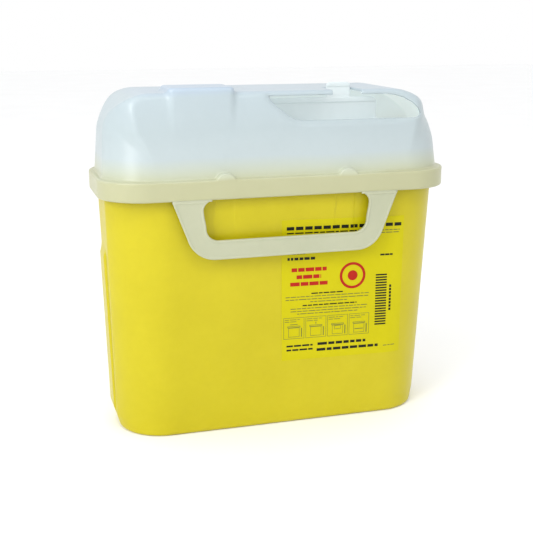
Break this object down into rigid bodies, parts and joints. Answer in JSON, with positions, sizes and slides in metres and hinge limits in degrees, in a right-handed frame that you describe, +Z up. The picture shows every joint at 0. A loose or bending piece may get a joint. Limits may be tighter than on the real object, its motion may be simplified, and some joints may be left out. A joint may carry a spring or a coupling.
{
  "type": "sharps container",
  "caption": "Tapered tub with a domed lid, a front entry window, a counterbalanced drop tray and a hanging carry handle.",
  "frame": {"origin": "centre of the base, on the surface the container stands on", "axes": "+X to the right seen from the front, along the container's width; -Y is the front with the window and handle; +Z up"},
  "size_m": [0.3048, 0.122, 0.2985],
  "materials": {
    "tub_plastic": "satin moulded polypropylene",
    "lid_plastic": "translucent milky polypropylene",
    "tray_plastic": "translucent milky polypropylene",
    "handle_plastic": "translucent milky polypropylene",
    "label_film": "printed adhesive film"
  },
  "bodies": {
    "base": {"container_base": "tub_plastic", "front_label": "label_film"},
    "lid": {"lid": "lid_plastic"},
    "tray": {"drop_tray": "tray_plastic"},
    "handle": {"carry_handle": "handle_plastic"}
  },
  "joints": [
    {"name": "lid_lift", "type": "slide", "parent": "base", "child": "lid", "axis": [0, 0, 1], "range_m": [0, 0.06]},
    {"name": "tray_tip", "type": "hinge", "parent": "lid", "child": "tray", "pos_m": [0, -0.02, 0.258], "axis": [1, 0, 0], "range_deg": [0, 62]},
    {"name": "handle_swing", "type": "hinge", "parent": "lid", "child": "handle", "pos_m": [0, -0.0612, 0.2083], "axis": [-1, 0, 0], "range_deg": [0, 175]}
  ]
}
